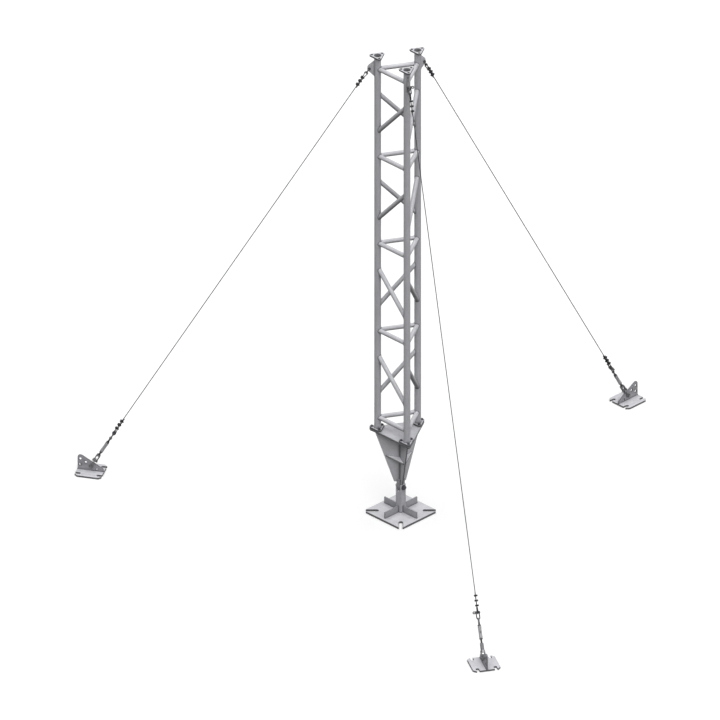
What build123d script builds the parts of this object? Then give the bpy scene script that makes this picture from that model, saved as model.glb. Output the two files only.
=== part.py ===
from build123d import *
import os
from math import asin, atan2, cos, degrees, hypot, radians, sin, sqrt, tan

# A guyed lattice radio mast: one flanged, three-legged section of steel tube stands on a tapered
# base cone, whose tongue is pinned to a slotted foot plate. Three wire-rope guys run from lugs
# near the top of the legs to anchor plates on the ground, each with shackles, thimbles, rope
# clips and a turnbuckle.
# Millimetres, +Z up, origin at the centre of the foot plate's underside. Leg A stands towards
# +Y, and legs B and C follow counter-clockwise seen from above.

# ---- Fits, and how many flat sides stand for a round on the small repeated pieces
weld_gap = 0.3
seat_gap = 0.3
running_clearance = 0.3
round_sides = 8
pivot_sides = 12
wire_sides = 6
leg_bore_sides = 20
bend_steps = 4
loop_steps = 8
nut_sides = 6

# ---- Legs and bracing
leg_names = ("a", "b", "c")
first_leg_angle = 90
leg_spacing = 290
leg_diameter = 48.3
leg_wall = 3.2
section_length = 3000
brace_diameter = 32
ring_count = 5
ring_pitch = 700
first_ring_rise = 94
diagonal_rise = 316
mirrored_panels = 2

# ---- Flanges and their bolts
flange_thickness = 12
flange_lobe_margin = 9.5
bolt_leg_offset = 18.35
bolts_per_flange = 3
bolt_diameter = 12
bolt_hole_clearance = 2
bolt_head_width = 18
bolt_head_height = 7.5
bolt_nut_height = 8
bolt_overhang = 3
tube_setback = 3

# ---- Base cone
cone_height = 390
cone_top_thickness = 15
fin_thickness = 10
fin_leg_overhang = 22.7
fin_foot_radius = 47.5
gusset_height = 203
gusset_thickness = 10

# ---- Foot and pivot
foot_plate_size = 366
foot_plate_thickness = 15
foot_slot_width = 28
foot_slot_reach = 155
rib_length = 135
rib_height = 48
rib_thickness = 10
post_width = 50
post_wall = 8
pivot_height = 210
ear_depth = 33
ear_rise = 25
ear_corner = 5
tongue_side_clearance = 2
tongue_width = 50
tongue_end_radius = 24
tongue_head = 58
fin_clearance = 35
pivot_bolt_diameter = 20
pivot_head_width = 30
pivot_head_height = 12.5
pivot_nut_height = 16
pivot_overhang = 4

# ---- Guys
guy_angle = 60
anchor_pin_height = 48
lug_pin_rise = 2888
lug_reach = 59
lug_thickness = 10
lug_hole_clearance = 2
lug_above = 69
lug_below = 55
lug_tip_above = 18
lug_tip_below = 14
lug_edge = 15
lug_corner = 6

# ---- Rope, thimbles and clips
rope_diameter = 6
thimble_pin_clearance = 1.5
thimble_wall = 1.5
thimble_lip = 2.5
thimble_cheek = 1.2
clip_count = 3
clip_pitch = 35
first_clip_offset = 47.5
clip_length = 13
clip_rod_diameter = 6
clip_saddle_margin = 1.2
clip_saddle_height = 8
clip_nut_width = 10
clip_nut_height = 5
clip_rod_overhang = 2
tail_length = 28

# ---- Rope shackles, one at each end of a rope
rope_shackle_wire = 8
rope_shackle_side_clearance = 2
rope_shackle_length = 48
rope_shackle_pin = 10
rope_shackle_eye_wall = 5

# ---- Anchor shackles, through the anchor fins
anchor_shackle_wire = 10
anchor_shackle_side_clearance = 3
anchor_shackle_pin = 16
anchor_shackle_eye_wall = 6
shackle_eye_swell = 0.5
pin_head_height = 7
pin_head_margin = 2.5

# ---- Turnbuckles
jaw_pin_reach = 52
jaw_pin_diameter = 12
jaw_side_clearance = 2
jaw_arm = 8
jaw_width = 20
jaw_crotch = 46
jaw_yoke = 14
jaw_corner = 7
jaw_pin_head = 6
screw_diameter = 14
screw_engagement = 32
lock_nut_offset = 23
lock_nut_height = 10
lock_nut_width = 22
body_length = 84
body_diameter = 25
body_bore_clearance = 2
body_end_length = 20
body_chamfer = 2.5
tommy_hole_diameter = 9
rod_eye_clearance = 2.5
rod_eye_rim = 5
rod_eye_thickness = 10
upper_shackle_crown = 278

# ---- Anchors
anchor_plate_length = 194
anchor_plate_width = 200
anchor_plate_thickness = 12
anchor_plate_offset = 4
anchor_plate_chamfer = 20
anchor_slot_width = 20
anchor_slot_length = 38
anchor_slot_spacing = 130
anchor_fin_thickness = 10
anchor_fin_inner = 88
anchor_fin_outer = 100
anchor_fin_margin = 32
anchor_fin_inner_corner = 15
anchor_fin_outer_corner = 22
anchor_hole_clearance = 2
anchor_hole_pitch = 46

# ---- Worked out from the sizes above
leg_angles = [first_leg_angle + 120 * n for n in range(3)]
leg_circle = leg_spacing / sqrt(3)
leg_radius = leg_diameter / 2
bolt_hole_diameter = bolt_diameter + bolt_hole_clearance
bolt_circle_radius = leg_radius + bolt_leg_offset
flange_lobe_radius = bolt_hole_diameter / 2 + flange_lobe_margin
fin_top_radius = leg_circle + fin_leg_overhang
tongue_thickness = post_width - 2 * (post_wall + tongue_side_clearance)
rope_radius = rope_diameter / 2
thimble_inner_radius = rope_shackle_pin / 2 + thimble_pin_clearance
thimble_width = rope_diameter + 2 * (seat_gap + thimble_cheek)
clip_reach = rope_radius + 2 * seat_gap + clip_rod_diameter / 2
clip_saddle_width = 2 * (clip_reach + clip_saddle_margin) + clip_nut_width
rope_shackle_gap = lug_thickness + 2 * rope_shackle_side_clearance
rope_shackle_eye = rope_shackle_pin / 2 + rope_shackle_eye_wall
lug_hole_diameter = rope_shackle_pin + lug_hole_clearance
anchor_shackle_gap = anchor_fin_thickness + 2 * anchor_shackle_side_clearance
anchor_shackle_eye = anchor_shackle_pin / 2 + anchor_shackle_eye_wall
anchor_hole_diameter = anchor_shackle_pin + anchor_hole_clearance
jaw_gap = anchor_shackle_wire + 2 * jaw_side_clearance
body_bore = screw_diameter + 2 * body_bore_clearance
rod_eye_hole = rope_shackle_wire + 2 * rod_eye_clearance
strand_offset = rope_radius + seat_gap / 2
cone_foot_z = pivot_height + fin_clearance
section_z = cone_foot_z + cone_height + cone_top_thickness
section_top_z = section_z + section_length
first_ring_z = section_z + first_ring_rise
lug_pin_radius = leg_circle + lug_reach
lug_pin_z = section_z + lug_pin_rise
anchor_pin_radius = lug_pin_radius + (lug_pin_z - anchor_pin_height) / tan(radians(guy_angle))
guy_length = (lug_pin_z - anchor_pin_height) / sin(radians(guy_angle))
rope_loop_radius = thimble_inner_radius + thimble_wall + seat_gap + rope_radius


# ---- Helpers
def polar(radius, angle, z=0):
    """Return the point at a radius and a plan angle from the mast's axis."""
    return Vector(radius * cos(radians(angle)), radius * sin(radians(angle)), z)


def turned(angle, shape):
    """Turn a shape that was made towards +X to a plan angle about the mast's axis."""
    return Rot(0, 0, angle) * shape


def outline(*points):
    """Return the flat face inside a closed run of straight lines."""
    return make_face(Polyline(*points, close=True))


def upright(sketch, thickness):
    """Stand a sketch of (radius, height) in the XZ plane as a plate centred on it."""
    return extrude(Plane.XZ * sketch, amount=thickness / 2, both=True)


def bar_between(section, start, end):
    """Extrude a section, drawn on the XY plane, from one point to another."""
    axis = Vector(*end) - Vector(*start)
    return extrude(Plane(Vector(*start), z_dir=axis) * section, amount=axis.length)


def peg(radius, sides=round_sides):
    """Return a many-sided section whose corners lie on a circle, for what goes in a hole."""
    return RegularPolygon(radius, sides)


def hole(radius, sides=round_sides):
    """Return a many-sided section whose flats lie on a circle, for what takes a peg."""
    return RegularPolygon(radius, sides, major_radius=False)


def bend_points(radius, start, end, steps):
    """Return corners round a circle on the origin, with straight steps that touch it."""
    step = (end - start) / steps
    corner_radius = radius / cos(radians(step / 2))
    angles = [start + (n + 0.5) * step for n in range(steps)]
    return [(corner_radius * cos(radians(a)), corner_radius * sin(radians(a))) for a in angles]


def bent_rod(points, radius, sides=wire_sides):
    """Sweep a rod of few sides along straight runs with mitred corners."""
    start = Plane(points[0], z_dir=Vector(*points[1]) - Vector(*points[0]))
    return sweep(start * peg(radius, sides), path=Polyline(*points), transition=Transition.RIGHT)


def hexagon(width, height):
    """Return a hexagonal prism on the XY plane, measured across its flats."""
    return extrude(hole(width / 2, nut_sides), amount=height)


def loaded_offset(hole_radius, pin_radius, sag=0):
    """Return how far a pin that is pulled to one side of its hole lies from the hole's centre."""
    return hole_radius - pin_radius - sag - seat_gap


def crown_sag(gap, width):
    """Return how far a shackle's rounded crown keeps a flat piece of a width off its middle."""
    return gap / 2 - sqrt((gap / 2) ** 2 - (width / 2) ** 2)


def write_node(name, solids):
    """Write one sub-part's solids to its own STEP file."""
    export_step(Compound([solid for shape in solids for solid in shape.solids()]),
                f"parts/{name}.step")


# ---- Foot and pivot
def make_foot_plate():
    """Square plate with an open slot along each diagonal for the ground bolts."""
    shape = Rectangle(foot_plate_size, foot_plate_size)
    slot_end = foot_slot_reach + foot_slot_width / 2
    slot = Pos(slot_end, 0) * hole(foot_slot_width / 2)
    slot += Pos(slot_end + foot_plate_size / 2, 0) * Rectangle(foot_plate_size, foot_slot_width)
    for corner in range(4):
        shape -= turned(45 + 90 * corner, slot)
    return extrude(shape, amount=foot_plate_thickness)


def make_foot_ribs():
    """Four flat bars on edge that brace the post along X and Y."""
    inner = post_width / 2
    bar = upright(
        outline(
            (inner, foot_plate_thickness),
            (inner + rib_length, foot_plate_thickness),
            (inner + rib_length, foot_plate_thickness + rib_height),
            (inner, foot_plate_thickness + rib_height),
        ),
        rib_thickness,
    )
    return [turned(90 * side, bar) for side in range(4)]


def pivot_bore(diameter):
    """Return a bar along X through the pivot, used to bore what the pivot bolt passes."""
    section = hole(diameter / 2, pivot_sides)
    return bar_between(section, (-post_width, 0, pivot_height), (post_width, 0, pivot_height))


def make_foot_post():
    """Square tube whose two X walls rise past the others as ears beside the pivot."""
    shoulder_z = pivot_height - ear_depth
    inner = post_width - 2 * post_wall
    walls = Rectangle(post_width, post_width) - Rectangle(inner, inner)
    post = Pos(0, 0, foot_plate_thickness) * extrude(walls, amount=shoulder_z - foot_plate_thickness)
    profile = Pos(0, pivot_height + (ear_rise - ear_depth) / 2) * Rectangle(
        post_width, ear_depth + ear_rise
    )
    profile = chamfer(profile.vertices().group_by(Axis.Y)[-1], ear_corner)
    for side in (-1, 1):
        ear_plane = Plane.YZ.offset(side * (post_width - post_wall) / 2)
        post += extrude(ear_plane * profile, amount=post_wall / 2, both=True)
    return post - pivot_bore(pivot_bolt_diameter + 2 * running_clearance)


def make_pivot_tongue():
    """Solid tongue under the cone, round at its foot, that hangs between the post's ears."""
    profile = Pos(0, pivot_height + tongue_head / 2) * Rectangle(tongue_width, tongue_head)
    profile += Pos(0, pivot_height) * Circle(tongue_end_radius)
    tongue = extrude(Plane.YZ * profile, amount=tongue_thickness / 2, both=True)
    return tongue - pivot_bore(pivot_bolt_diameter + 2 * running_clearance)


def make_pivot_bolt():
    """Bolt along X with its head on the -X ear and its nut on the +X ear."""
    ear_face = post_width / 2
    tip = ear_face + pivot_nut_height + pivot_overhang
    section = peg(pivot_bolt_diameter / 2, pivot_sides)
    shank = bar_between(section, (-ear_face, 0, pivot_height), (tip, 0, pivot_height))
    head = Pos(-ear_face, 0, pivot_height) * Rot(0, -90, 0)
    nut = Pos(ear_face, 0, pivot_height) * Rot(0, 90, 0)
    bolt = shank + head * hexagon(pivot_head_width, pivot_head_height)
    bolt += nut * hexagon(pivot_head_width, pivot_nut_height)
    return bolt


# ---- Base cone
def fin_radius(z):
    """Return the radius of the cone's outer edge at a height."""
    share = (z - cone_foot_z) / cone_height
    return fin_foot_radius + share * (fin_top_radius - fin_foot_radius)


def make_cone_fin(angle):
    """Tapered radial plate, mitred to its neighbours on the axis and notched over the tongue."""
    top_z = cone_foot_z + cone_height
    profile = outline(
        (0, cone_foot_z), (fin_foot_radius, cone_foot_z), (fin_top_radius, top_z), (0, top_z)
    )
    mitre = fin_thickness / 2 / tan(radians(60))
    wedge = outline(
        (0, 0),
        (mitre, fin_thickness / 2),
        (fin_top_radius, fin_thickness / 2),
        (fin_top_radius, -fin_thickness / 2),
        (mitre, -fin_thickness / 2),
    )
    fin = upright(profile, fin_thickness) & extrude(wedge, amount=top_z)
    notch_height = tongue_head - fin_clearance
    notch = Pos(0, 0, cone_foot_z + notch_height / 2) * Box(
        tongue_thickness + 2 * weld_gap, tongue_width + 2 * weld_gap, notch_height
    )
    return turned(angle, fin) - notch


def make_cone_gussets():
    """Three level triangles that tie the fins together at mid height."""
    top_z = cone_foot_z + gusset_height
    tip_radius = fin_radius(top_z - gusset_thickness)
    triangle = outline(*[polar(tip_radius, angle) for angle in leg_angles])
    plate = Pos(0, 0, top_z - gusset_thickness) * extrude(triangle, amount=gusset_thickness)
    for angle in leg_angles:
        slot = Pos(fin_top_radius / 2, 0, top_z) * Box(fin_top_radius, fin_thickness, cone_height)
        plate -= turned(angle, slot)
    return plate.solids()


def flange_outline():
    """Return the hull of the lobes round a flange's bolts, about a leg that stands towards +X."""
    lobes = Sketch()
    for bolt in range(bolts_per_flange):
        centre = polar(bolt_circle_radius, bolt * 360 / bolts_per_flange)
        lobes += Pos(centre) * peg(flange_lobe_radius)
    return make_hull(lobes.edges())


def bolt_places():
    """Return where the bolts of one flange stand, about its leg's axis."""
    step = 360 / bolts_per_flange
    return [Pos(polar(bolt_circle_radius, bolt * step)) for bolt in range(bolts_per_flange)]


def make_cone_top_plate():
    """Triangular plate that carries the section, its sides flush with those of the leg flanges."""
    lobes = Sketch()
    for angle in leg_angles:
        lobes += turned(angle, Pos(leg_circle + bolt_circle_radius, 0) * peg(flange_lobe_radius))
    shape = make_hull(lobes.edges())
    for angle in leg_angles:
        for place in bolt_places():
            shape -= turned(angle, Pos(leg_circle, 0) * place * hole(bolt_hole_diameter / 2))
    return Pos(0, 0, section_z - cone_top_thickness) * extrude(shape, amount=cone_top_thickness)


# ---- Mast section
def make_leg(angle):
    """Leg tube, set back a little inside the flange at each end."""
    low = polar(leg_circle, angle, section_z + tube_setback)
    high = polar(leg_circle, angle, section_top_z - tube_setback)
    return bar_between(Circle(leg_radius) - Circle(leg_radius - leg_wall), low, high)


def leg_clearance(angle):
    """Return the space round a leg that what is welded to it keeps out of."""
    section = hole(leg_radius + weld_gap, leg_bore_sides)
    low = polar(leg_circle, angle, section_z)
    return bar_between(section, low, polar(leg_circle, angle, section_top_z))


def make_flanges(z, bolt_hole):
    """Three lobed flanges at one level, each with its bore round a leg."""
    shape = flange_outline() - hole(leg_radius + weld_gap, leg_bore_sides)
    for place in bolt_places():
        shape -= place * bolt_hole
    flange = extrude(shape, amount=flange_thickness)
    return [turned(angle, Pos(leg_circle, 0, z) * flange) for angle in leg_angles]


def make_flange_bolts():
    """Bolts with their nuts that clamp the section's foot flanges to the cone's top plate."""
    grip = flange_thickness + cone_top_thickness
    shank = extrude(peg(bolt_diameter / 2, wire_sides), amount=grip + bolt_nut_height + bolt_overhang)
    head = Pos(0, 0, -bolt_head_height) * hexagon(bolt_head_width, bolt_head_height)
    nut = Pos(0, 0, grip) * hexagon(bolt_head_width, bolt_nut_height)
    bolt = shank + head + nut
    seat = Pos(leg_circle, 0, section_z - cone_top_thickness)
    return [turned(angle, seat * place * bolt) for angle in leg_angles for place in bolt_places()]


def make_brace(low_leg, high_leg, low_z, high_z):
    """Brace between two legs, coped to both of them."""
    low = polar(leg_circle, leg_angles[low_leg], low_z)
    high = polar(leg_circle, leg_angles[high_leg], high_z)
    brace = bar_between(peg(brace_diameter / 2), low, high)
    return brace - leg_clearance(leg_angles[low_leg]) - leg_clearance(leg_angles[high_leg])


def make_ring(level):
    """Three level braces at one height, mitred to each other where two meet at a leg."""
    z = first_ring_z + level * ring_pitch
    braces = []
    for leg in range(3):
        middle = leg_angles[leg] + 60
        corner = polar(weld_gap / 2 / sin(radians(60)), middle)
        sector = outline(
            corner, corner + polar(leg_spacing, middle - 60), corner + polar(leg_spacing, middle + 60)
        )
        mitre = extrude(Plane.XY.offset(z) * sector, amount=brace_diameter, both=True)
        braces.append(make_brace(leg, (leg + 1) % 3, z, z) & mitre)
    return braces


def make_diagonals(face):
    """Diagonals of one face, one to a panel, climbing the other way in the lower panels."""
    braces = []
    for panel in range(ring_count - 1):
        middle = first_ring_z + (panel + 0.5) * ring_pitch
        legs = (face, (face + 1) % 3)
        if panel < mirrored_panels:
            legs = legs[::-1]
        braces.append(make_brace(*legs, middle - diagonal_rise / 2, middle + diagonal_rise / 2))
    return braces


def make_guy_lug(angle):
    """Plate on the outer side of a leg that takes the guy's shackle pin."""
    root = leg_circle
    tip = lug_pin_radius + lug_edge
    profile = outline(
        (root, lug_pin_z - lug_below),
        (root + leg_radius, lug_pin_z - lug_below),
        (tip, lug_pin_z - lug_tip_below),
        (tip, lug_pin_z + lug_tip_above),
        (root + leg_radius, lug_pin_z + lug_above),
        (root, lug_pin_z + lug_above),
    )
    profile = chamfer(profile.vertices().group_by(Axis.X)[-1], lug_corner)
    lug = upright(profile, lug_thickness) - leg_clearance(0)
    shift = loaded_offset(lug_hole_diameter / 2, rope_shackle_pin / 2)
    hole_r = lug_pin_radius - shift * cos(radians(guy_angle))
    hole_z = lug_pin_z + shift * sin(radians(guy_angle))
    bore = Pos(hole_r, 0, hole_z) * cross_bar(hole(lug_hole_diameter / 2), -lug_thickness, lug_thickness)
    return turned(angle, lug - bore)


# ---- Guy hardware, made along +Z from the anchor pin, with +X away from the mast
def on_guy(angle, shape):
    """Move a shape from the guy's own axes to its place between the anchor and the lug."""
    slope = radians(guy_angle)
    frame = Plane(
        (anchor_pin_radius, 0, anchor_pin_height),
        x_dir=(sin(slope), 0, cos(slope)),
        z_dir=(-cos(slope), 0, sin(slope)),
    )
    return turned(angle, frame.location * shape)


def cross_bar(section, low_y, high_y):
    """Return a bar of one section along Y through the local origin."""
    return bar_between(section, (0, low_y, 0), (0, high_y, 0))


def make_shackle_bow(wire, gap, length, pin, eye_radius):
    """D shackle: two eyes round a pin on the Y axis, and a round crown up the Z axis."""
    side = (gap + wire) / 2
    crown = bend_points(side, 180, 0, bend_steps)
    points = [(0, -side, 0)] + [(0, y, length - side + z) for y, z in crown] + [(0, side, 0)]
    bow = bent_rod(points, wire / 2)
    half = wire / 2 + shackle_eye_swell
    for face in (-1, 1):
        bow += Pos(0, face * side, 0) * cross_bar(peg(eye_radius), -half, half)
    return bow - cross_bar(hole(pin / 2 + running_clearance), -length, length)


def make_shackle_pin(wire, gap, pin, head_side):
    """Shackle pin along Y, with a round head against one eye and a short end past the other."""
    face = gap / 2 + wire + shackle_eye_swell
    shank = cross_bar(peg(pin / 2), -face - pin_head_margin, face + pin_head_margin)
    head = cross_bar(peg(pin / 2 + pin_head_margin), face, face + pin_head_height)
    return Rot(0, 0, 90 - 90 * head_side) * (shank + head)


def rope_tangent():
    """Return the angle, from the Z axis, at which the rope leaves the loop for its first clip."""
    run = first_clip_offset - clip_length / 2
    reach = hypot(strand_offset, run)
    return degrees(asin(rope_loop_radius / reach) - atan2(strand_offset, run))


def loop_outline(radius):
    """Return the (x, z) corners of a loop round the thimble, from one straight side to the other."""
    lean = rope_tangent()
    return bend_points(radius, 180 - lean, 360 + lean, loop_steps)


def thimble_centres():
    """Return the heights of the lower and the upper thimble's centre along the guy."""
    pin_seat = loaded_offset(thimble_inner_radius, rope_shackle_pin / 2)
    sag = crown_sag(rope_shackle_gap, thimble_width)
    crown_seat = loaded_offset(thimble_inner_radius, rope_shackle_wire / 2, sag)
    lower = upper_shackle_crown + rope_shackle_length + pin_seat
    upper = guy_length - rope_shackle_length - crown_seat
    return lower, upper


def make_rope():
    """Wire rope from tail to tail: a loop round each thimble and one straight strand between."""
    low_z, high_z = thimble_centres()
    run = first_clip_offset - clip_length / 2
    end = first_clip_offset + (clip_count - 1) * clip_pitch + tail_length
    loop = [(-strand_offset, end), (-strand_offset, run)]
    loop += loop_outline(rope_loop_radius) + [(strand_offset, run)]
    points = [(x, 0, low_z + z) for x, z in loop]
    points += [(x, 0, high_z - z) for x, z in reversed(loop)]
    rope = bent_rod(points, rope_radius)
    length = Polyline(*points).length
    print("rope volume over section times length:", rope.volume / (peg(rope_radius, wire_sides).area * length))
    return rope


def teardrop(radius, depth):
    """Return a teardrop prism: a circle drawn out to a point up the Z axis, seen along Y."""
    tip = radius / sin(radians(rope_tangent()))
    return extrude(Plane.XZ * outline(*loop_outline(radius), (0, tip)), amount=depth / 2, both=True)


def make_thimble():
    """Teardrop ring that lines the rope's loop, with lips that hold the rope in its groove."""
    seat_radius = thimble_inner_radius + thimble_wall
    rope_width = 2 * (rope_radius + seat_gap)
    body = teardrop(seat_radius + thimble_lip, thimble_width)
    body -= teardrop(seat_radius + 2 * thimble_lip, rope_width) - teardrop(seat_radius, rope_width)
    body -= teardrop(thimble_inner_radius, 2 * thimble_width)
    throat = first_clip_offset - clip_length / 2 - seat_gap
    return body - Pos(0, 0, throat + rope_shackle_length) * Box(
        rope_shackle_length, rope_shackle_length, 2 * rope_shackle_length
    )


def make_clip():
    """Rope clip at the local origin: a U-bolt round both strands, a saddle and two nuts."""
    saddle_top = strand_offset + clip_saddle_height
    tip = saddle_top + clip_nut_height + clip_rod_overhang
    clip = Pos(strand_offset + clip_saddle_height / 2, 0, 0) * Box(
        clip_saddle_height, clip_saddle_width, clip_length
    )
    clip -= Pos(strand_offset, 0, -clip_length) * extrude(
        hole(rope_radius + seat_gap, wire_sides), amount=2 * clip_length
    )
    bend = bend_points(clip_reach, 270, 90, bend_steps)
    points = [(tip, -clip_reach, 0)]
    points += [(x - strand_offset, y, 0) for x, y in bend]
    points += [(tip, clip_reach, 0)]
    clip += bent_rod(points, clip_rod_diameter / 2, nut_sides)
    nut = Rot(0, 90, 0) * hexagon(clip_nut_width, clip_nut_height)
    for face in (-1, 1):
        clip += Pos(saddle_top, face * clip_reach, 0) * nut
    return clip


def clip_heights():
    """Return the heights of the clips along the guy, counted from each thimble."""
    low_z, high_z = thimble_centres()
    steps = [first_clip_offset + n * clip_pitch for n in range(clip_count)]
    return [low_z + step for step in steps] + [high_z - step for step in steps]


# ---- Turnbuckle
jaw_crotch_z = jaw_pin_reach + jaw_crotch
jaw_top_z = jaw_crotch_z + jaw_yoke
lower_nut_z = jaw_top_z + lock_nut_offset
body_z = lower_nut_z + lock_nut_height + seat_gap
body_top_z = body_z + body_length
upper_nut_z = body_top_z + seat_gap
rod_eye_z = upper_shackle_crown - loaded_offset(
    rod_eye_hole / 2, rope_shackle_wire / 2, crown_sag(rope_shackle_gap, rod_eye_thickness)
)


def make_turnbuckle_jaw():
    """Forked end whose arms take the jaw pin, with the lower screw."""
    half = jaw_gap / 2 + jaw_arm
    fork = outline((-half, 0), (half, 0), (half, jaw_top_z), (-half, jaw_top_z))
    fork = chamfer(fork.vertices().group_by(Axis.Y)[-1], jaw_corner)
    crotch = Pos(0, jaw_crotch_z - jaw_gap / 2) * hole(jaw_gap / 2)
    slot = Pos(0, (jaw_crotch_z - jaw_gap / 2) / 2) * Rectangle(jaw_gap, jaw_crotch_z - jaw_gap / 2)
    jaw = upright(fork - slot - crotch, jaw_width)
    cheek = Pos(0, (jaw_pin_reach + jaw_top_z) / 2) * Rectangle(jaw_width, jaw_top_z - jaw_pin_reach)
    cheek += Pos(0, jaw_pin_reach) * hole(jaw_width / 2)
    jaw &= extrude(Plane.YZ * cheek, amount=half, both=True)
    screw = peg(screw_diameter / 2)
    jaw += bar_between(screw, (0, 0, jaw_top_z - jaw_yoke / 2), (0, 0, body_z + screw_engagement))
    bore = hole(jaw_pin_diameter / 2 + running_clearance)
    return jaw - bar_between(bore, (-2 * half, 0, jaw_pin_reach), (2 * half, 0, jaw_pin_reach))


def make_jaw_pin():
    """Pin across the jaw, with a round head on the outer arm and a keeper on the inner one."""
    face = jaw_gap / 2 + jaw_arm
    radius = jaw_pin_diameter / 2
    head_end = face + jaw_pin_head
    keeper_end = face + jaw_pin_head / 2
    pin = bar_between(peg(radius), (-keeper_end - pin_head_margin, 0, 0), (face, 0, 0))
    pin += bar_between(peg(radius + 2 * pin_head_margin), (face, 0, 0), (head_end, 0, 0))
    pin += bar_between(peg(radius + pin_head_margin), (-keeper_end, 0, 0), (-face, 0, 0))
    return Pos(0, 0, jaw_pin_reach) * pin


def make_turnbuckle_body():
    """Closed tubular body, bored wide between its threaded ends, with a tommy-bar hole."""
    body = extrude(peg(body_diameter / 2), amount=body_length)
    body = chamfer(body.edges().filter_by(GeomType.LINE).group_by(Axis.Z)[0], body_chamfer)
    body = chamfer(body.edges().group_by(Axis.Z)[-1], body_chamfer)
    middle = body_length - 2 * body_end_length
    body -= extrude(hole(screw_diameter / 2 + running_clearance), amount=body_length)
    body -= Pos(0, 0, body_end_length) * extrude(hole(body_bore / 2), amount=middle)
    tommy = hole(tommy_hole_diameter / 2)
    half_z = body_length / 2
    body -= bar_between(tommy, (-body_diameter, 0, half_z), (body_diameter, 0, half_z))
    return Pos(0, 0, body_z) * body


def make_rod_eye():
    """Upper screw with an eye that hooks round the crown of the rope's shackle."""
    radius = rod_eye_hole / 2 + rod_eye_rim
    ring = cross_bar(peg(radius), -rod_eye_thickness / 2, rod_eye_thickness / 2)
    screw_end = body_top_z - screw_engagement - rod_eye_z
    screw = bar_between(peg(screw_diameter / 2), (0, 0, screw_end), (0, 0, 0))
    eye = ring + screw - cross_bar(hole(rod_eye_hole / 2), -screw_diameter, screw_diameter)
    return Pos(0, 0, rod_eye_z) * eye


def make_lock_nuts():
    """The two nuts that lock the screws against the body's ends."""
    nut = hexagon(lock_nut_width, lock_nut_height)
    nut -= extrude(hole(screw_diameter / 2 + running_clearance), amount=lock_nut_height)
    return [Pos(0, 0, z) * nut for z in (lower_nut_z, upper_nut_z)]


# ---- Anchors
def make_anchor_plate():
    """Ground plate with cropped corners and four open slots for its bolts."""
    shape = Rectangle(anchor_plate_length, anchor_plate_width)
    shape = chamfer(shape.vertices(), anchor_plate_chamfer)
    for end in (-1, 1):
        slot_end = end * (anchor_plate_length / 2 - anchor_slot_length + anchor_slot_width / 2)
        for side in (-1, 1):
            y = side * anchor_slot_spacing / 2
            shape -= Pos(slot_end, y) * hole(anchor_slot_width / 2)
            shape -= Pos(slot_end + end * anchor_slot_length / 2, y) * Rectangle(
                anchor_slot_length, anchor_slot_width
            )
    centre = Pos(anchor_pin_radius + anchor_plate_offset, 0)
    return centre * extrude(shape, amount=anchor_plate_thickness)


def make_anchor_fin():
    """Upright fin whose sloping edge is square to the guy, with a row of shackle holes."""
    slope = radians(guy_angle)

    def edge_z(offset):
        return anchor_pin_height + offset / tan(slope) + anchor_fin_margin / sin(slope)

    inner, outer = -anchor_fin_inner, anchor_fin_outer
    profile = outline(
        (inner, anchor_plate_thickness),
        (outer, anchor_plate_thickness),
        (outer, edge_z(outer)),
        (inner, edge_z(inner)),
    )
    top_corner = profile.vertices().sort_by(Axis.Y)[-1]
    profile = fillet(top_corner, anchor_fin_outer_corner)
    inner_corner = profile.vertices().group_by(Axis.X)[0].sort_by(Axis.Y)[-1]
    profile = fillet(inner_corner, anchor_fin_inner_corner)
    shift = loaded_offset(anchor_hole_diameter / 2, anchor_shackle_pin / 2)
    first = (shift * cos(slope), anchor_pin_height - shift * sin(slope))
    step = (anchor_hole_pitch * sin(slope), anchor_hole_pitch * cos(slope))
    holes = [(first[0] + n * step[0], first[1] + n * step[1]) for n in (-1, 0, 1, 2)]
    holes.append((holes[-1][0], holes[-1][1] - anchor_hole_pitch))
    for place in holes[:-1]:
        profile -= Pos(*place) * hole(anchor_hole_diameter / 2)
    profile -= Pos(*holes[-1]) * Circle(anchor_hole_diameter / 2)
    return Pos(anchor_pin_radius, 0, 0) * upright(profile, anchor_fin_thickness)


# ---- Nodes
def write_base():
    """Write the foot, the pivot and the base cone."""
    write_node("foot_plate", [make_foot_plate()])
    write_node("foot_ribs", make_foot_ribs())
    write_node("foot_post", [make_foot_post()])
    write_node("pivot_tongue", [make_pivot_tongue()])
    write_node("pivot_bolt", [make_pivot_bolt()])
    for name, angle in zip(leg_names, leg_angles):
        write_node(f"cone_fin_{name}", [make_cone_fin(angle)])
    write_node("cone_gussets", make_cone_gussets())
    write_node("cone_top_plate", [make_cone_top_plate()])


def write_section():
    """Write the mast section with its flanges, bracing and guy lugs."""
    write_node("leg_foot_flanges", make_flanges(section_z, hole(bolt_hole_diameter / 2)))
    top_hole = Circle(bolt_hole_diameter / 2)
    write_node("leg_top_flanges", make_flanges(section_top_z - flange_thickness, top_hole))
    write_node("flange_bolts", make_flange_bolts())
    for name, angle in zip(leg_names, leg_angles):
        write_node(f"leg_{name}", [make_leg(angle)])
    for level in range(ring_count):
        write_node(f"brace_ring_{level + 1}", make_ring(level))
    for face in range(3):
        name = leg_names[face] + leg_names[(face + 1) % 3]
        write_node(f"diagonals_{name}", make_diagonals(face))
    write_node("guy_lugs", [make_guy_lug(angle) for angle in leg_angles])


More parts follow.
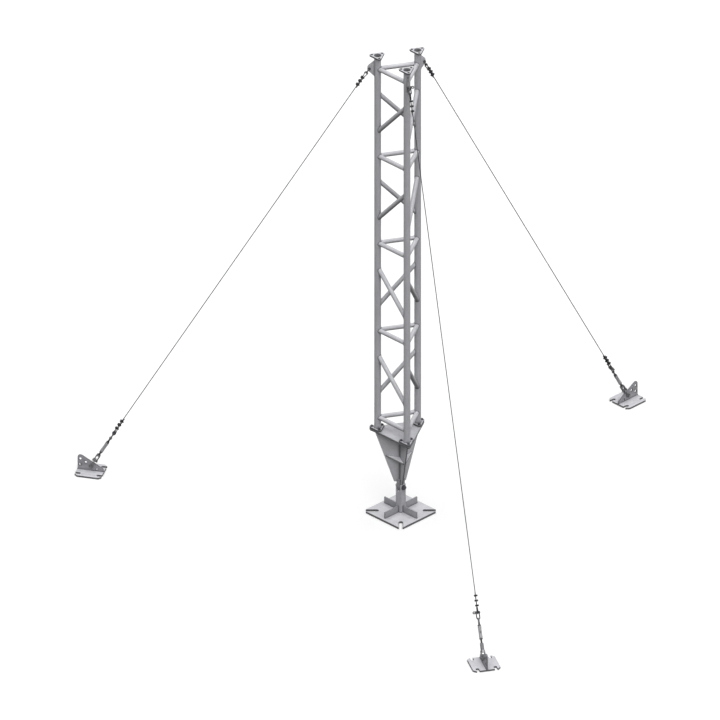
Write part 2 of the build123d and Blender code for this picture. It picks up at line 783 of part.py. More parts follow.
def write_guys():
    """Write the three guys with their hardware and anchors."""
    low_z, high_z = thimble_centres()
    rope_pin_z = upper_shackle_crown + rope_shackle_length
    rope_shackle = (rope_shackle_wire, rope_shackle_gap)
    rope_bow = make_shackle_bow(*rope_shackle, rope_shackle_length, rope_shackle_pin, rope_shackle_eye)
    anchor_shackle = (anchor_shackle_wire, anchor_shackle_gap)
    anchor_length = jaw_pin_reach + (jaw_pin_diameter + anchor_shackle_wire) / 2 + seat_gap
    anchor_bow = make_shackle_bow(*anchor_shackle, anchor_length, anchor_shackle_pin, anchor_shackle_eye)
    flip = Rot(180, 0, 0)
    thimble = make_thimble()
    clip = make_clip()
    shared = {
        "shackle_bows": [
            anchor_bow,
            Pos(0, 0, rope_pin_z) * flip * rope_bow,
            Pos(0, 0, guy_length) * flip * rope_bow,
        ],
        "shackle_pins": [
            make_shackle_pin(*anchor_shackle, anchor_shackle_pin, 1),
            Pos(0, 0, rope_pin_z) * make_shackle_pin(*rope_shackle, rope_shackle_pin, -1),
            Pos(0, 0, guy_length) * make_shackle_pin(*rope_shackle, rope_shackle_pin, 1),
        ],
        "thimbles": [Pos(0, 0, low_z) * thimble, Pos(0, 0, high_z) * flip * thimble],
        "rope_clips": [Pos(0, 0, z) * clip for z in clip_heights()],
        "turnbuckle_jaws": [make_turnbuckle_jaw()],
        "turnbuckle_jaw_pins": [make_jaw_pin()],
        "turnbuckle_rod_eyes": [make_rod_eye()],
        "turnbuckle_lock_nuts": make_lock_nuts(),
    }
    for node, shapes in shared.items():
        write_node(node, [on_guy(angle, shape) for angle in leg_angles for shape in shapes])
    rope, body = make_rope(), make_turnbuckle_body()
    anchor_plate, anchor_fin = make_anchor_plate(), make_anchor_fin()
    for name, angle in zip(leg_names, leg_angles):
        write_node(f"guy_rope_{name}", [on_guy(angle, rope)])
        write_node(f"turnbuckle_body_{name}", [on_guy(angle, body)])
        write_node(f"anchor_plate_{name}", [turned(angle, anchor_plate)])
        write_node(f"anchor_fin_{name}", [turned(angle, anchor_fin)])


os.makedirs("parts", exist_ok=True)
write_base()
write_section()
write_guys()
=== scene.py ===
from itertools import accumulate
from math import asin, atan2, ceil, cos, degrees, hypot, pi, radians, sin, sqrt, tan

import bmesh
import bpy
from mathutils import Matrix, Vector


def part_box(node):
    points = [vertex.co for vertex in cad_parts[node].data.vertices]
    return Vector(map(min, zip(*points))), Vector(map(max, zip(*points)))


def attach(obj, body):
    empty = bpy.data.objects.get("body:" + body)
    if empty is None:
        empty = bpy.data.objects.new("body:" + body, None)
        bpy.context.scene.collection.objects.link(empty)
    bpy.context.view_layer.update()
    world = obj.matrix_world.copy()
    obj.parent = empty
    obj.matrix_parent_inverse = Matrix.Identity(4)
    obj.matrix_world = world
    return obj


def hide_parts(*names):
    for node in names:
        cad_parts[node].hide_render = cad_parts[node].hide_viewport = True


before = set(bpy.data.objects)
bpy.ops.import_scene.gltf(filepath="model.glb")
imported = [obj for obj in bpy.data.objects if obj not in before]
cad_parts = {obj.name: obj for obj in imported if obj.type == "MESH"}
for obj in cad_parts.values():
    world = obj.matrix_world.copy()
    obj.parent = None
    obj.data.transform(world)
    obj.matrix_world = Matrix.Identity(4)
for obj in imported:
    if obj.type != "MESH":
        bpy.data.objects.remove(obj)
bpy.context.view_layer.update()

MM = 0.001
GROUND_LEVEL = 0.0

# ---- Sizes of the mast that the frame's boxes don't give, in metres
leg_names = ("a", "b", "c")
leg_angles = (90, 210, 330)
brace_radius = 16 * MM
brace_bead = 2.6 * MM
ring_count = 5
diagonal_rise = 316 * MM
mirrored_panels = 2
bolt_circle_radius = 42.5 * MM
bolts_per_flange = 3
flange_lobe_radius = 16.5 * MM
bolt_hole_radius = 7 * MM
bolt_radius = 6 * MM
bolt_head_width = 18 * MM
bolt_head_height = 7.5 * MM
bolt_nut_height = 8 * MM
bolt_overhang = 3 * MM
bolt_pitch = 1.75 * MM
washer_radius = 12 * MM
washer_thickness = 2 * MM
washer_bevel = 0.5 * MM
pivot_bolt_radius = 10 * MM
pivot_head_width = 29.4 * MM
pivot_nut_height = 16 * MM
pivot_bolt_pitch = 2 * MM
pivot_washer_radius = 18.5 * MM
foot_slot_width = 28 * MM
foot_slot_reach = 155 * MM
post_inner_half = 17 * MM
post_shoulder_z = 177 * MM
post_cap_thickness = 5 * MM
rib_half_thickness = 5 * MM
lug_edge = 15 * MM
lug_tip_above = 18 * MM
lug_tip_below = 14 * MM
lug_corner = 6 * MM
lug_hole_radius = 6 * MM
lug_thickness = 10 * MM
anchor_slot_width = 20 * MM
anchor_slot_length = 38 * MM
anchor_slot_spacing = 130 * MM
anchor_plate_half_length = 97 * MM
anchor_plate_half_width = 100 * MM
anchor_plate_offset = 4 * MM
anchor_plate_chamfer = 20 * MM
anchor_fin_inner = 88 * MM
anchor_fin_outer = 100 * MM
anchor_fin_margin = 32 * MM
anchor_fin_inner_corner = 15 * MM
anchor_fin_outer_corner = 22 * MM
anchor_hole_radius = 9 * MM
anchor_hole_pitch = 46 * MM
anchor_bead = 3.5 * MM

# ---- Sizes of a guy, along +Z from its anchor pin, with +X away from the mast. A rope
# leaves its loop at loop_end, at the angle loop_lean, and runs straight to the first clip.
guy_slope = radians(60)
anchor_pin_height = 48 * MM
lug_pin_rise = 2888 * MM
lug_reach = 59 * MM
seat_gap = 0.3 * MM
rope_radius = 3 * MM
strand_offset = rope_radius + seat_gap / 2
thimble_inner_radius = 6.5 * MM
thimble_wall = 1.5 * MM
thimble_lip = 2.5 * MM
thimble_width = 9 * MM
clip_count = 3
clip_pitch = 35 * MM
first_clip_offset = 47.5 * MM
clip_length = 13 * MM
clip_rod_radius = 3 * MM
clip_saddle_width = 25.6 * MM
clip_saddle_height = 8 * MM
clip_nut_width = 10 * MM
clip_nut_height = 5 * MM
clip_rod_overhang = 2 * MM
clip_rod_pitch = 1 * MM
tail_length = 28 * MM
rope_shackle = dict(wire=8 * MM, gap=14 * MM, length=48 * MM, pin=10 * MM, eye=10 * MM)
anchor_shackle = dict(wire=10 * MM, gap=16 * MM, length=63.3 * MM, pin=16 * MM, eye=14 * MM)
shackle_eye_swell = 0.5 * MM
bore_clearance = 0.3 * MM
pin_pitch = 1.5 * MM
pin_head_height = 7 * MM
pin_head_margin = 2.5 * MM
pin_collar_margin = 2 * MM
pin_collar_height = 1 * MM
pin_eye_radius = 11 * MM
pin_eye_hole = 4 * MM
pin_eye_thickness = 9 * MM
pin_eye_reach = 9 * MM
jaw_pin_reach = 52 * MM
jaw_pin_radius = 6 * MM
jaw_gap = 14 * MM
jaw_arm = 8 * MM
jaw_width = 20 * MM
jaw_crotch_z = 98 * MM
jaw_top_z = 112 * MM
jaw_corner = 7 * MM
screw_engagement = 4 * MM
screw_radius = 7 * MM
screw_pitch = 2 * MM
lock_nut_width = 22 * MM
lock_nut_height = 10 * MM
lower_nut_z = 135 * MM
body_z = 145.3 * MM
body_length = 84 * MM
body_radius = 12.5 * MM
body_collar = 16 * MM
body_chamfer = 2.5 * MM
body_waist_depth = 0.8 * MM
tommy_hole_radius = 6 * MM
rod_eye_hole = 13 * MM
rod_eye_rim = 5 * MM
rod_eye_thickness = 10 * MM
upper_shackle_crown = 278 * MM
loop_radius = thimble_inner_radius + thimble_wall + seat_gap + rope_radius
loop_end = first_clip_offset - clip_length / 2
loop_lean = degrees(asin(loop_radius / hypot(strand_offset, loop_end)) - atan2(strand_offset, loop_end))


def added(name, data):
    """A new object in the scene."""
    shape = bpy.data.objects.new(name, data)
    bpy.context.scene.collection.objects.link(shape)
    return shape


# ---- Meshes, as (points, faces)
def joined(parts):
    """One mesh out of several."""
    points, faces = [], []
    for part_points, part_faces in parts:
        start = len(points)
        points += part_points
        faces += [[start + corner for corner in face] for face in part_faces]
    return points, faces


def placed(matrix, part):
    return [matrix @ point for point in part[0]], part[1]


def shifted(part, x=0.0, y=0.0, z=0.0):
    return placed(Matrix.Translation((x, y, z)), part)


def raised(part, z):
    return shifted(part, z=z)


def along_x(part):
    """Turn a mesh made along +Z to lie along +X."""
    return placed(Matrix.Rotation(pi / 2, 4, "Y"), part)


def along_y(part):
    """Turn a mesh made along +Z to lie along +Y."""
    return placed(Matrix.Rotation(-pi / 2, 4, "X"), part)


def upright(part):
    """Stand a mesh made on the XY plane up on the XZ plane."""
    return placed(Matrix.Rotation(pi / 2, 4, "X"), part)


def skin(rings, closed=False):
    """Join rings of points into a tube, capped at both ends unless the path closes."""
    sides = len(rings[0])
    points = [point for ring in rings for point in ring]
    faces = []
    for row in range(len(rings) if closed else len(rings) - 1):
        low = row * sides
        high = (row + 1) % len(rings) * sides
        for side in range(sides):
            following = (side + 1) % sides
            faces.append([low + side, low + following, high + following, high + side])
    if not closed:
        faces.append(list(range(sides))[::-1])
        faces.append([(len(rings) - 1) * sides + side for side in range(sides)])
    return points, faces


def circle(radius, sides, z=0.0):
    steps = [2 * pi * side / sides for side in range(sides)]
    return [Vector((radius * cos(a), radius * sin(a), z)) for a in steps]


def arc(centre, radius, start, end, steps=12):
    """Points on an arc in the plane, from one angle to another in degrees."""
    angles = [radians(start + (end - start) * n / steps) for n in range(steps + 1)]
    return [Vector((centre[0] + radius * cos(a), centre[1] + radius * sin(a))) for a in angles]


def hole(centre, radius, sides):
    """Outline of a round hole on the XY plane."""
    return [Vector((centre[0] + point.x, centre[1] + point.y)) for point in circle(radius, sides)]


def fanned(outline, *angles):
    """One outline out of a part of it, turned on the XY plane to each of some angles."""
    turns = [Matrix.Rotation(radians(angle), 2) for angle in angles]
    return [turn @ Vector(point[:2]) for turn in turns for point in outline]


def lathe(profile, sides=24, closed=False):
    """Turn a profile of (radius, z) about the Z axis. A closed one makes a ring."""
    return skin([circle(radius, sides, z) for radius, z in profile], closed)


def ring(inner, outer, thickness, rim, sides=32):
    """Flat ring about the Z axis, with its outer edges rounded."""
    half = thickness / 2
    profile = [(inner, -half), (outer - rim, -half), (outer, rim - half)]
    return lathe(mirrored(profile), sides, closed=True)


def mirrored(profile, middle=0.0):
    """A profile of (radius, z) with its own mirror image above the middle."""
    return profile + [(radius, 2 * middle - z) for radius, z in reversed(profile)]


def washer(radius, sides=24):
    top = washer_thickness
    return lathe([(radius - washer_bevel, 0), (radius, washer_bevel), (radius, top), (0, top)], sides)


def tangents(path, closed=False):
    last = len(path) - 1
    before = [path[-1] if closed else path[0]] + path[:last]
    after = path[1:] + [path[0] if closed else path[last]]
    return [(end - start).normalized() for start, end in zip(before, after)]


def path_frames(path, closed=False):
    """Two side directions at each point of a path, carried along without twist."""
    directions = tangents(path, closed)
    side = directions[0].orthogonal().normalized()
    frames = []
    for along in directions:
        side = (side - along * side.dot(along)).normalized()
        frames.append((side, along.cross(side)))
    return frames


def travelled(path):
    """Distance along a path at each of its points."""
    return accumulate([0.0] + [(end - start).length for start, end in zip(path, path[1:])])


def swept(path, radius, sides=12, closed=False):
    """Round rod along a path. The radius is one number, or one for each point."""
    radii = radius if isinstance(radius, list) else [radius] * len(path)
    rings = []
    for point, (u, v), size in zip(path, path_frames(path, closed), radii):
        rings.append([point + u * corner.x + v * corner.y for corner in circle(size, sides)])
    return skin(rings, closed)


def spaced(start, end, step):
    """Points along a straight line, about one step apart."""
    count = max(2, ceil((end - start).length / step))
    return [start.lerp(end, n / count) for n in range(count + 1)]


WELD_STEP = 1.5 * MM
WELD_RIPPLE = 4.5 * MM


def weld(path, size=3 * MM, closed=False):
    """Fillet weld: a bead with ripples along a seam, half sunk in the plates that it joins."""
    radii = [size * (0.86 + 0.14 * abs(cos(pi * way / WELD_RIPPLE))) for way in travelled(path)]
    return swept(path, radii, 6, closed)


def weld_line(start, end, size=3 * MM):
    return weld(spaced(Vector(start), Vector(end), WELD_STEP), size)


def weld_ring(radius, z, size=3 * MM):
    return weld(circle(radius, ceil(2 * pi * radius / WELD_STEP), z), size, closed=True)


def threaded(radius, low, high, pitch, sides=16):
    """Screw thread as a true helix, dying out at both ends."""
    rows_per_turn = 4
    depth = 0.6 * pitch
    rings = []
    for row in range(int((high - low) / pitch * rows_per_turn) + 2 * rows_per_turn):
        turn = []
        for side in range(sides):
            z = low + pitch * (row / rows_per_turn - 1 + side / sides)
            inside = low < z < high
            size = radius if inside and row % rows_per_turn < 2 else radius - depth
            angle = 2 * pi * side / sides
            turn.append(Vector((size * cos(angle), size * sin(angle), min(max(z, low), high))))
        rings.append(turn)
    return skin(rings)


def hexagon(width, height, sides=24):
    """Nut or bolt head on the XY plane, with its corners turned off top and bottom."""
    flat = width / 2
    face_radius = 0.96 * flat
    rings = [], [], [], []
    for side in range(sides):
        angle = 2 * pi * side / sides
        reach = flat / cos((angle + pi / 6) % (pi / 3) - pi / 6)
        drop = (reach - face_radius) * tan(radians(30))
        levels = (face_radius, 0), (reach, drop), (reach, height - drop), (face_radius, height)
        for points, (size, z) in zip(rings, levels):
            points.append(Vector((size * cos(angle), size * sin(angle), z)))
    return skin(rings)


PLATE_EDGE = 0.9 * MM
CUT_EDGE = 2.5 * MM


def plate(outline, holes, thickness, edge=PLATE_EDGE):
    """Flat plate centred on the XY plane, with rounded edges and real holes."""
    curve = bpy.data.curves.new("plate", "CURVE")
    curve.dimensions = "2D"
    curve.fill_mode = "BOTH"
    curve.extrude = thickness / 2 - edge
    curve.bevel_depth = edge
    curve.bevel_resolution = 1
    curve.offset = -edge
    for loop in [outline] + holes:
        spline = curve.splines.new("POLY")
        spline.points.add(len(loop) - 1)
        for point, place in zip(spline.points, loop):
            point.co = (place[0], place[1], 0, 1)
        spline.use_cyclic_u = True
    result = final_mesh(added("plate", curve))
    bpy.data.curves.remove(curve)
    return result


def final_mesh(shape):
    """The mesh of an object after its modifiers, as (points, faces); the object goes."""
    graph = bpy.context.evaluated_depsgraph_get()
    mesh = bpy.data.meshes.new_from_object(shape.evaluated_get(graph))
    result = [vert.co.copy() for vert in mesh.vertices], [list(face.vertices) for face in mesh.polygons]
    bpy.data.objects.remove(shape)
    bpy.data.meshes.remove(mesh)
    return result


def made(name, part):
    """An object of a mesh given as (points, faces), with its normals outwards."""
    mesh = bpy.data.meshes.new(name)
    mesh.from_pydata(part[0], [], part[1])
    cleaned = bmesh.new()
    cleaned.from_mesh(mesh)
    bmesh.ops.remove_doubles(cleaned, verts=cleaned.verts, dist=1e-6)
    bmesh.ops.dissolve_degenerate(cleaned, edges=cleaned.edges, dist=1e-6)
    bmesh.ops.recalc_face_normals(cleaned, faces=cleaned.faces)
    cleaned.to_mesh(mesh)
    cleaned.free()
    return added(name, mesh)


def piece(name, part, material, replaces=(), smooth_angle=40):
    """Make a visible piece that rides on the mast and stands for some CAD nodes."""
    shape = made(name, part)
    shape.data.polygons.foreach_set("use_smooth", [True] * len(shape.data.polygons))
    shape.data.set_sharp_from_angle(angle=radians(smooth_angle))
    shape.data.materials.append(material)
    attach(shape, "root")
    if replaces:
        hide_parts(*replaces)


def softened(node):
    """A CAD node's shape with its sharp edges rounded, as (points, faces)."""
    shape = bmesh.new()
    shape.from_mesh(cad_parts[node].data)
    bmesh.ops.remove_doubles(shape, verts=shape.verts, dist=1e-6)
    bmesh.ops.dissolve_limit(shape, angle_limit=radians(1), verts=shape.verts, edges=shape.edges)
    sharp = [e for e in shape.edges if len(e.link_faces) == 2 and e.calc_face_angle() > radians(30)]
    bmesh.ops.bevel(
        shape, geom=sharp, offset=PLATE_EDGE, segments=2, profile=0.5, affect="EDGES", clamp_overlap=True
    )
    result = [vert.co.copy() for vert in shape.verts], [[v.index for v in f.verts] for f in shape.faces]
    shape.free()
    return result


# ---- Materials
def steel(name, slot, colour, roughness, metallic=0.06, spangle=0.05, cell_size=12 * MM,
          patina=0.10, bump=0.15, crevice_shade=0.4, painted_edge_tone=1.15, edge_width=None, cut=None,
          rims_only=False, underside_shade=1.0, shade_reach=14 * MM):
    """Zinc-coated steel: crystals, patches and streaks of dull zinc, and painted shade in crevices.

    Sharp edges take a painted tone of their own: below 1 a dark outline, above 1 a lighter edge.
    A plate's cut sides take the same tone as painted shade: "level" for plates that lie flat,
    "radial" for those in a plane through the mast's axis. With rims_only the cut sides keep
    the plate's colour and only their rounded rims differ. Faces that look down get painted
    shade, down to the underside tone.
    """
    material = bpy.data.materials.new(name)
    material["record_slot"] = slot
    material.use_nodes = True
    tree = material.node_tree
    tree.nodes.clear()

    def add(kind, links=(), **settings):
        node = tree.nodes.new(kind)
        for key, value in settings.items():
            if key.startswith("in_"):
                node.inputs[key[3:].replace("_", " ")].default_value = value
            else:
                setattr(node, key, value)
        for socket, source in dict(links).items():
            tree.links.new(source, node.inputs[socket])
        return node

    def maths(operation, first, second):
        node = add("ShaderNodeMath", operation=operation)
        for socket, value in zip(node.inputs, (first, second)):
            if isinstance(value, (int, float)):
                socket.default_value = value
            else:
                tree.links.new(value, socket)
        return node.outputs[0]

    def spread(source, low, high, start=0.0, end=1.0):
        """Map a value from start..end to low..high."""
        return add(
            "ShaderNodeMapRange", {"Value": source},
            in_From_Min=start, in_From_Max=end, in_To_Min=low, in_To_Max=high,
        ).outputs[0]

    def toned(lightness, tone, mask, start, end):
        """Lightness times a tone up to the start of a mask, and untouched from its end."""
        return maths("MULTIPLY", lightness, spread(mask, tone, 1.0, start, end))

    place = add("ShaderNodeTexCoord").outputs["Object"]
    cells = add("ShaderNodeTexVoronoi", {"Vector": place}, in_Scale=1 / cell_size)
    crystal = add("ShaderNodeSeparateColor", {"Color": cells.outputs["Color"]}).outputs[0]
    patches = add("ShaderNodeTexNoise", {"Vector": place}, in_Scale=9.0, in_Detail=5.0, in_Roughness=0.6)
    squeezed = add("ShaderNodeMapping", {"Vector": place}, in_Scale=(70.0, 70.0, 5.0))
    streaks = add("ShaderNodeTexNoise", {"Vector": squeezed.outputs[0]}, in_Scale=1.0, in_Detail=3.0)
    grain = add("ShaderNodeTexNoise", {"Vector": place}, in_Scale=420.0, in_Detail=3.0)

    mottle = spread(patches.outputs[0], -patina, patina)
    lightness = maths("ADD", spread(crystal, -spangle, spangle), mottle)
    lightness = maths("ADD", lightness, spread(streaks.outputs[0], -patina / 2, patina / 2))
    lightness = maths("ADD", lightness, 1.0)
    geometry = add("ShaderNodeNewGeometry")
    # Painted shade: faces that look down render darker than those that look up.
    if underside_shade < 1.0:
        level = add("ShaderNodeSeparateXYZ", {"Vector": geometry.outputs["Normal"]}).outputs["Z"]
        lightness = toned(lightness, underside_shade, level, -0.55, 0.15)
    # Painted shade on a plate's cut sides: they take the edge tone. With rims_only, only their rims do, as a
    # dark outline.
    if cut:
        upward = (0.0, 0.0, 1.0)
        facing = add("ShaderNodeVectorMath", {0: geometry.outputs["True Normal"]}, operation="DOT_PRODUCT")
        if cut == "radial":
            across = add("ShaderNodeVectorMath", {0: place}, operation="CROSS_PRODUCT")
            across.inputs[1].default_value = upward
            unit = add("ShaderNodeVectorMath", {0: across.outputs[0]}, operation="NORMALIZE")
            tree.links.new(unit.outputs[0], facing.inputs[1])
        else:
            facing.inputs[1].default_value = upward
        level = maths("ABSOLUTE", facing.outputs["Value"], 0.0)
        start, end = 0.90, 0.99
        if rims_only:
            level = maths("ABSOLUTE", maths("SUBTRACT", level, 0.55), 0.0)
            start, end = 0.38, 0.44
        lightness = toned(lightness, painted_edge_tone, level, start, end)
    # A band along sharp edges takes the edge tone: below 1 a dark outline, above 1 a lighter edge.
    if edge_width:
        eased = add("ShaderNodeBevel", in_Radius=edge_width, samples=6)
        turning = add(
            "ShaderNodeVectorMath", {0: eased.outputs[0], 1: geometry.outputs["Normal"]},
            operation="DOT_PRODUCT",
        ).outputs["Value"]
        lightness = toned(lightness, painted_edge_tone, turning, 0.93, 0.996)
    tinted = add("ShaderNodeHueSaturation", {"Value": lightness}, in_Color=(*colour, 1.0)).outputs[0]
    # Painted shade: the colour darkens towards a dark copy of itself wherever other surfaces lie near.
    occlusion = add("ShaderNodeAmbientOcclusion", in_Distance=shade_reach, samples=6)
    painted_shade = spread(occlusion.outputs["AO"], crevice_shade, 0.0, 0.25, 0.85)
    crevice_shaded = add("ShaderNodeMix", {"Factor": painted_shade, 6: tinted}, data_type="RGBA")
    crevice_shaded.inputs[7].default_value = (*(channel * 0.22 for channel in colour), 1.0)

    rough = maths("ADD", spread(patches.outputs[0], roughness - 0.10, roughness + 0.10),
                  spread(crystal, -0.05, 0.05))
    height = maths("ADD", grain.outputs[0], maths("MULTIPLY", cells.outputs["Distance"], 0.6))
    grained = add("ShaderNodeBump", {"Height": height}, in_Strength=bump, in_Distance=0.4 * MM)
    surface = add(
        "ShaderNodeBsdfPrincipled",
        {"Base Color": crevice_shaded.outputs[2], "Roughness": rough, "Normal": grained.outputs[0]},
        in_Metallic=metallic, in_Specular_IOR_Level=0.2,
    )
    add("ShaderNodeOutputMaterial", {"Surface": surface.outputs[0]})
    return material


ZINC = (0.46, 0.46, 0.485)
PLATE = dict(slot="galvanised_plate", roughness=0.55, painted_edge_tone=0.32, edge_width=5 * MM)
plate_zinc = steel("plate_zinc", colour=ZINC, **PLATE)
level_zinc = steel("level_zinc", colour=ZINC, cut="level", **PLATE)
flange_zinc = steel("flange_zinc", colour=ZINC, cut="level", **{**PLATE, "painted_edge_tone": 0.20})
# A lighter copy of the zinc, with weaker crevice shade: painted light on the cone's fins, which lie in the
# top plate's shade. The guy lugs take it too.
upright_zinc = steel("upright_zinc", colour=(0.52, 0.52, 0.545), cut="radial", crevice_shade=0.25, **PLATE)
# A darker copy of the zinc: painted shade on the anchors' upright fins.
fin_zinc = steel("fin_zinc", colour=(0.30, 0.30, 0.32), cut="radial", rims_only=True, **PLATE)
# A darker copy of the zinc, as painted shade on the foot's post, with its corners lighter as a painted
# highlight.
post_zinc = steel("post_zinc", colour=(0.40, 0.40, 0.425), **{**PLATE, "painted_edge_tone": 1.12})
# A darker copy of the zinc: painted shade on the foot's ribs and the pivot tongue.
bar_zinc = steel("bar_zinc", colour=(0.30, 0.30, 0.32), **PLATE)
# A much lighter copy of the zinc, with weaker crevice shade: painted light on the gussets and post cap, which
# lie in the shade of the parts above.
painted_light_zinc = steel("painted_light_zinc", colour=(0.82, 0.82, 0.85), cut="level", crevice_shade=0.1, **PLATE)
# Strong painted shade on the legs wherever other parts stand within 50 mm of them.
tube_zinc = steel(
    "tube_zinc", "galvanised_tube", (0.44, 0.44, 0.465), 0.48, cell_size=9 * MM, crevice_shade=0.85, shade_reach=50 * MM
)
# The braces' downward faces get painted shade, down to 0.3 of their colour.
brace_zinc = steel(
    "brace_zinc", "galvanised_brace", (0.51, 0.51, 0.535), 0.50, cell_size=8 * MM, underside_shade=0.3
)
weld_zinc = steel("weld_zinc", "galvanised_plate", (0.13, 0.13, 0.14), 0.60, spangle=0.02)
SMALL = dict(roughness=0.42, metallic=0.25, edge_width=0.6 * MM)
bolt_zinc = steel("bolt_zinc", "bolt_steel", (0.08, 0.08, 0.09), cell_size=3 * MM, **SMALL)
clip_zinc = steel("clip_zinc", "bolt_steel", (0.02, 0.02, 0.024), cell_size=3 * MM, **SMALL)
shackle_zinc = steel("shackle_zinc", "zinc_hardware", (0.06, 0.06, 0.066), cell_size=4 * MM, **SMALL)
pin_zinc = steel("pin_zinc", "zinc_hardware", (0.09, 0.09, 0.097), cell_size=3 * MM, **SMALL)
body_zinc = steel("body_zinc", "zinc_hardware", (0.31, 0.31, 0.32), cell_size=5 * MM, **SMALL)
OUTLINED = dict(roughness=0.42, metallic=0.15, painted_edge_tone=0.10, edge_width=4.5 * MM, cell_size=5 * MM)
jaw_zinc = steel("jaw_zinc", "zinc_hardware", (0.17, 0.17, 0.18), **OUTLINED)
anchor_zinc = steel("anchor_zinc", "zinc_hardware", (0.20, 0.20, 0.21), **OUTLINED)
rope_zinc = steel("rope_zinc", "wire_rope", (0.02, 0.02, 0.023), 0.60, metallic=0.1, cell_size=2 * MM)


# ---- Places taken from the frame
def centre_of(node):
    low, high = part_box(node)
    return (low + high) / 2


def turned(angle, part):
    """Turn a mesh that was made towards +X to a plan angle about the mast's axis."""
    return placed(Matrix.Rotation(radians(angle), 4, "Z"), part)


def on_every_leg(parts):
    return joined([turned(angle, part) for angle in leg_angles for part in parts])


leg_places = [centre_of(f"leg_{name}").to_2d() for name in leg_names]
leg_circle = leg_places[0].length
leg_low, leg_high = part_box("leg_a")
leg_radius = (leg_high.x - leg_low.x) / 2
section_low_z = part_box("leg_foot_flanges")[0].z
section_top_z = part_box("leg_top_flanges")[1].z
flange_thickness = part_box("leg_foot_flanges")[1].z - section_low_z
ring_heights = [centre_of(f"brace_ring_{level}").z for level in range(1, ring_count + 1)]
lug_pin_radius = leg_circle + lug_reach
lug_pin_z = section_low_z + lug_pin_rise
anchor_pin_radius = lug_pin_radius + (lug_pin_z - anchor_pin_height) / tan(guy_slope)
guy_length = (lug_pin_z - anchor_pin_height) / sin(guy_slope)


def on_guy(angle, part):
    """Move a mesh from the guy's own axes to its place between the anchor and the lug."""
    axes = Matrix((
        (sin(guy_slope), 0, -cos(guy_slope), anchor_pin_radius),
        (0, 1, 0, 0),
        (cos(guy_slope), 0, sin(guy_slope), anchor_pin_height),
        (0, 0, 0, 1),
    ))
    return turned(angle, placed(axes, part))


def on_every_guy(parts):
    return joined([on_guy(angle, part) for angle in leg_angles for part in parts])


# ---- Bracing
def cope_distance(point, direction, leg, far):
    """How far along a line it meets a leg's surface, at its first or its second crossing."""
    offset = point.to_2d() - leg
    run = direction.to_2d()
    a = run.dot(run)
    b = offset.dot(run)
    c = offset.dot(offset) - leg_radius ** 2
    root = sqrt(b * b - a * c)
    return (-b + root if far else -b - root) / a


def brace_ends(low_leg, high_leg, low_z, high_z, sides):
    """Where the surface of a brace meets its two legs, as two rings of points."""
    low = Vector((*leg_places[low_leg], low_z))
    high = Vector((*leg_places[high_leg], high_z))
    direction = (high - low).normalized()
    side = direction.cross(Vector((0, 0, 1))).normalized()
    up = side.cross(direction)
    points = [low + side * corner.x + up * corner.y for corner in circle(brace_radius, sides)]

    def coped(leg, far):
        return [point + direction * cope_distance(point, direction, leg_places[leg], far) for point in points]

    return coped(low_leg, True), coped(high_leg, False)


def brace_tube(*where):
    return skin(brace_ends(*where, 32))


def brace_welds(*where):
    sides = ceil(2 * pi * brace_radius / WELD_STEP)
    return [weld(end, brace_bead, closed=True) for end in brace_ends(*where, sides)]


def diagonal_places():
    """Legs and heights of the diagonals: one to a panel, the lower panels' climbing the other way."""
    places = []
    for face in range(3):
        for panel, (low_ring, high_ring) in enumerate(zip(ring_heights, ring_heights[1:])):
            middle = (low_ring + high_ring) / 2
            legs = (face, (face + 1) % 3)
            if panel < mirrored_panels:
                legs = legs[::-1]
            places.append((*legs, middle - diagonal_rise / 2, middle + diagonal_rise / 2))
    return places


def make_bracing():
    rings = [(leg, (leg + 1) % 3, z, z) for z in ring_heights for leg in range(3)]
    for level in range(ring_count):
        tubes = [brace_tube(*where) for where in rings[3 * level:3 * level + 3]]
        piece(f"ring_tubes_{level + 1}", joined(tubes), brace_zinc, [f"brace_ring_{level + 1}"])
    diagonals = diagonal_places()
    panels = ring_count - 1
    for face, node in enumerate(("diagonals_ab", "diagonals_bc", "diagonals_ca")):
        tubes = [brace_tube(*where) for where in diagonals[panels * face:panels * (face + 1)]]
        piece(f"{node}_tubes", joined(tubes), brace_zinc, [node])
    welds = [bead for where in rings + diagonals for bead in brace_welds(*where)]
    piece("brace_welds", joined(welds), weld_zinc)


# ---- Flanges, cone and foot
def lobe(leg_x=0.0):
    """Arc round the bolt of a flange that is furthest along +X from its leg."""
    return arc((leg_x + bolt_circle_radius, 0), flange_lobe_radius, -60, 60, 14)


def bolt_places():
    return circle(bolt_circle_radius, bolts_per_flange)


def bolt_holes(leg_x=0.0):
    return [hole((leg_x + place.x, place.y), bolt_hole_radius, 16) for place in bolt_places()]


def make_flanges():
    bore = hole((0, 0), leg_radius, 60)
    flange = plate(fanned(lobe(), 0, 120, 240), bolt_holes() + [bore], flange_thickness, CUT_EDGE)
    half = flange_thickness / 2
    for end, z in (("foot", section_low_z + half), ("top", section_top_z - half)):
        flanges = on_every_leg([shifted(flange, leg_circle, 0, z)])
        piece(f"{end}_flanges", flanges, flange_zinc, [f"leg_{end}_flanges"])
    beads = [
        weld_ring(leg_radius, section_low_z + flange_thickness),
        weld_ring(leg_radius, section_top_z - flange_thickness),
        weld_ring(leg_radius - 2 * MM, section_top_z - 3 * MM, 2 * MM),
    ]
    piece("flange_welds", on_every_leg([shifted(bead, leg_circle) for bead in beads]), weld_zinc)


def make_cone_top():
    """Top plate: a triangle whose corners are the outer lobes of the leg flanges."""
    low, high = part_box("cone_top_plate")
    holes = [fanned(edge, angle) for angle in leg_angles for edge in bolt_holes(leg_circle)]
    top = plate(fanned(lobe(leg_circle), *leg_angles), holes, high.z - low.z, CUT_EDGE)
    piece("cone_top", raised(top, (low.z + high.z) / 2), level_zinc, ["cone_top_plate"])


